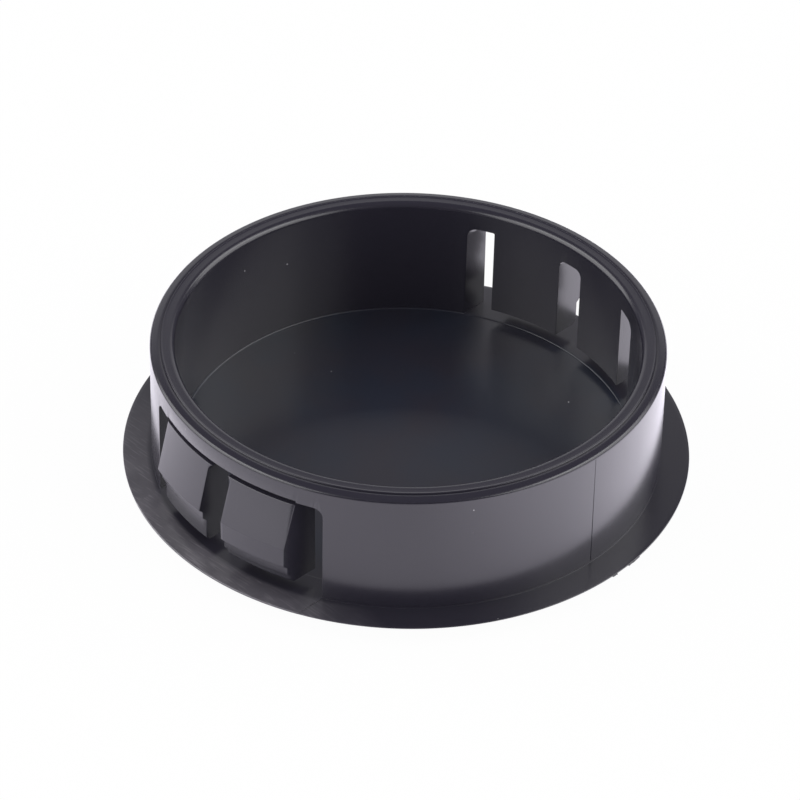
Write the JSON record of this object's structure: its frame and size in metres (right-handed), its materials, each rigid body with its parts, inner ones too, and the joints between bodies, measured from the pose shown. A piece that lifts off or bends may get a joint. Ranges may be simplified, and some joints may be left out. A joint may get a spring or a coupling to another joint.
{
  "type": "plastic hole plug",
  "caption": "Round snap-in plug that closes a drilled panel hole: thin sealing flange, cup-shaped body and stepped snap tongues in side windows.",
  "frame": {"origin": "centre of the head's outer face, on which the plug lies", "axes": "+Z from the head to the open rim, +X through the middle of one window with its pair of snap tongues"},
  "size_m": [0.0492, 0.0493, 0.0132],
  "materials": {
    "black_nylon": "satin"
  },
  "bodies": {
    "root": {"hole_plug": "black_nylon"}
  },
  "joints": []
}
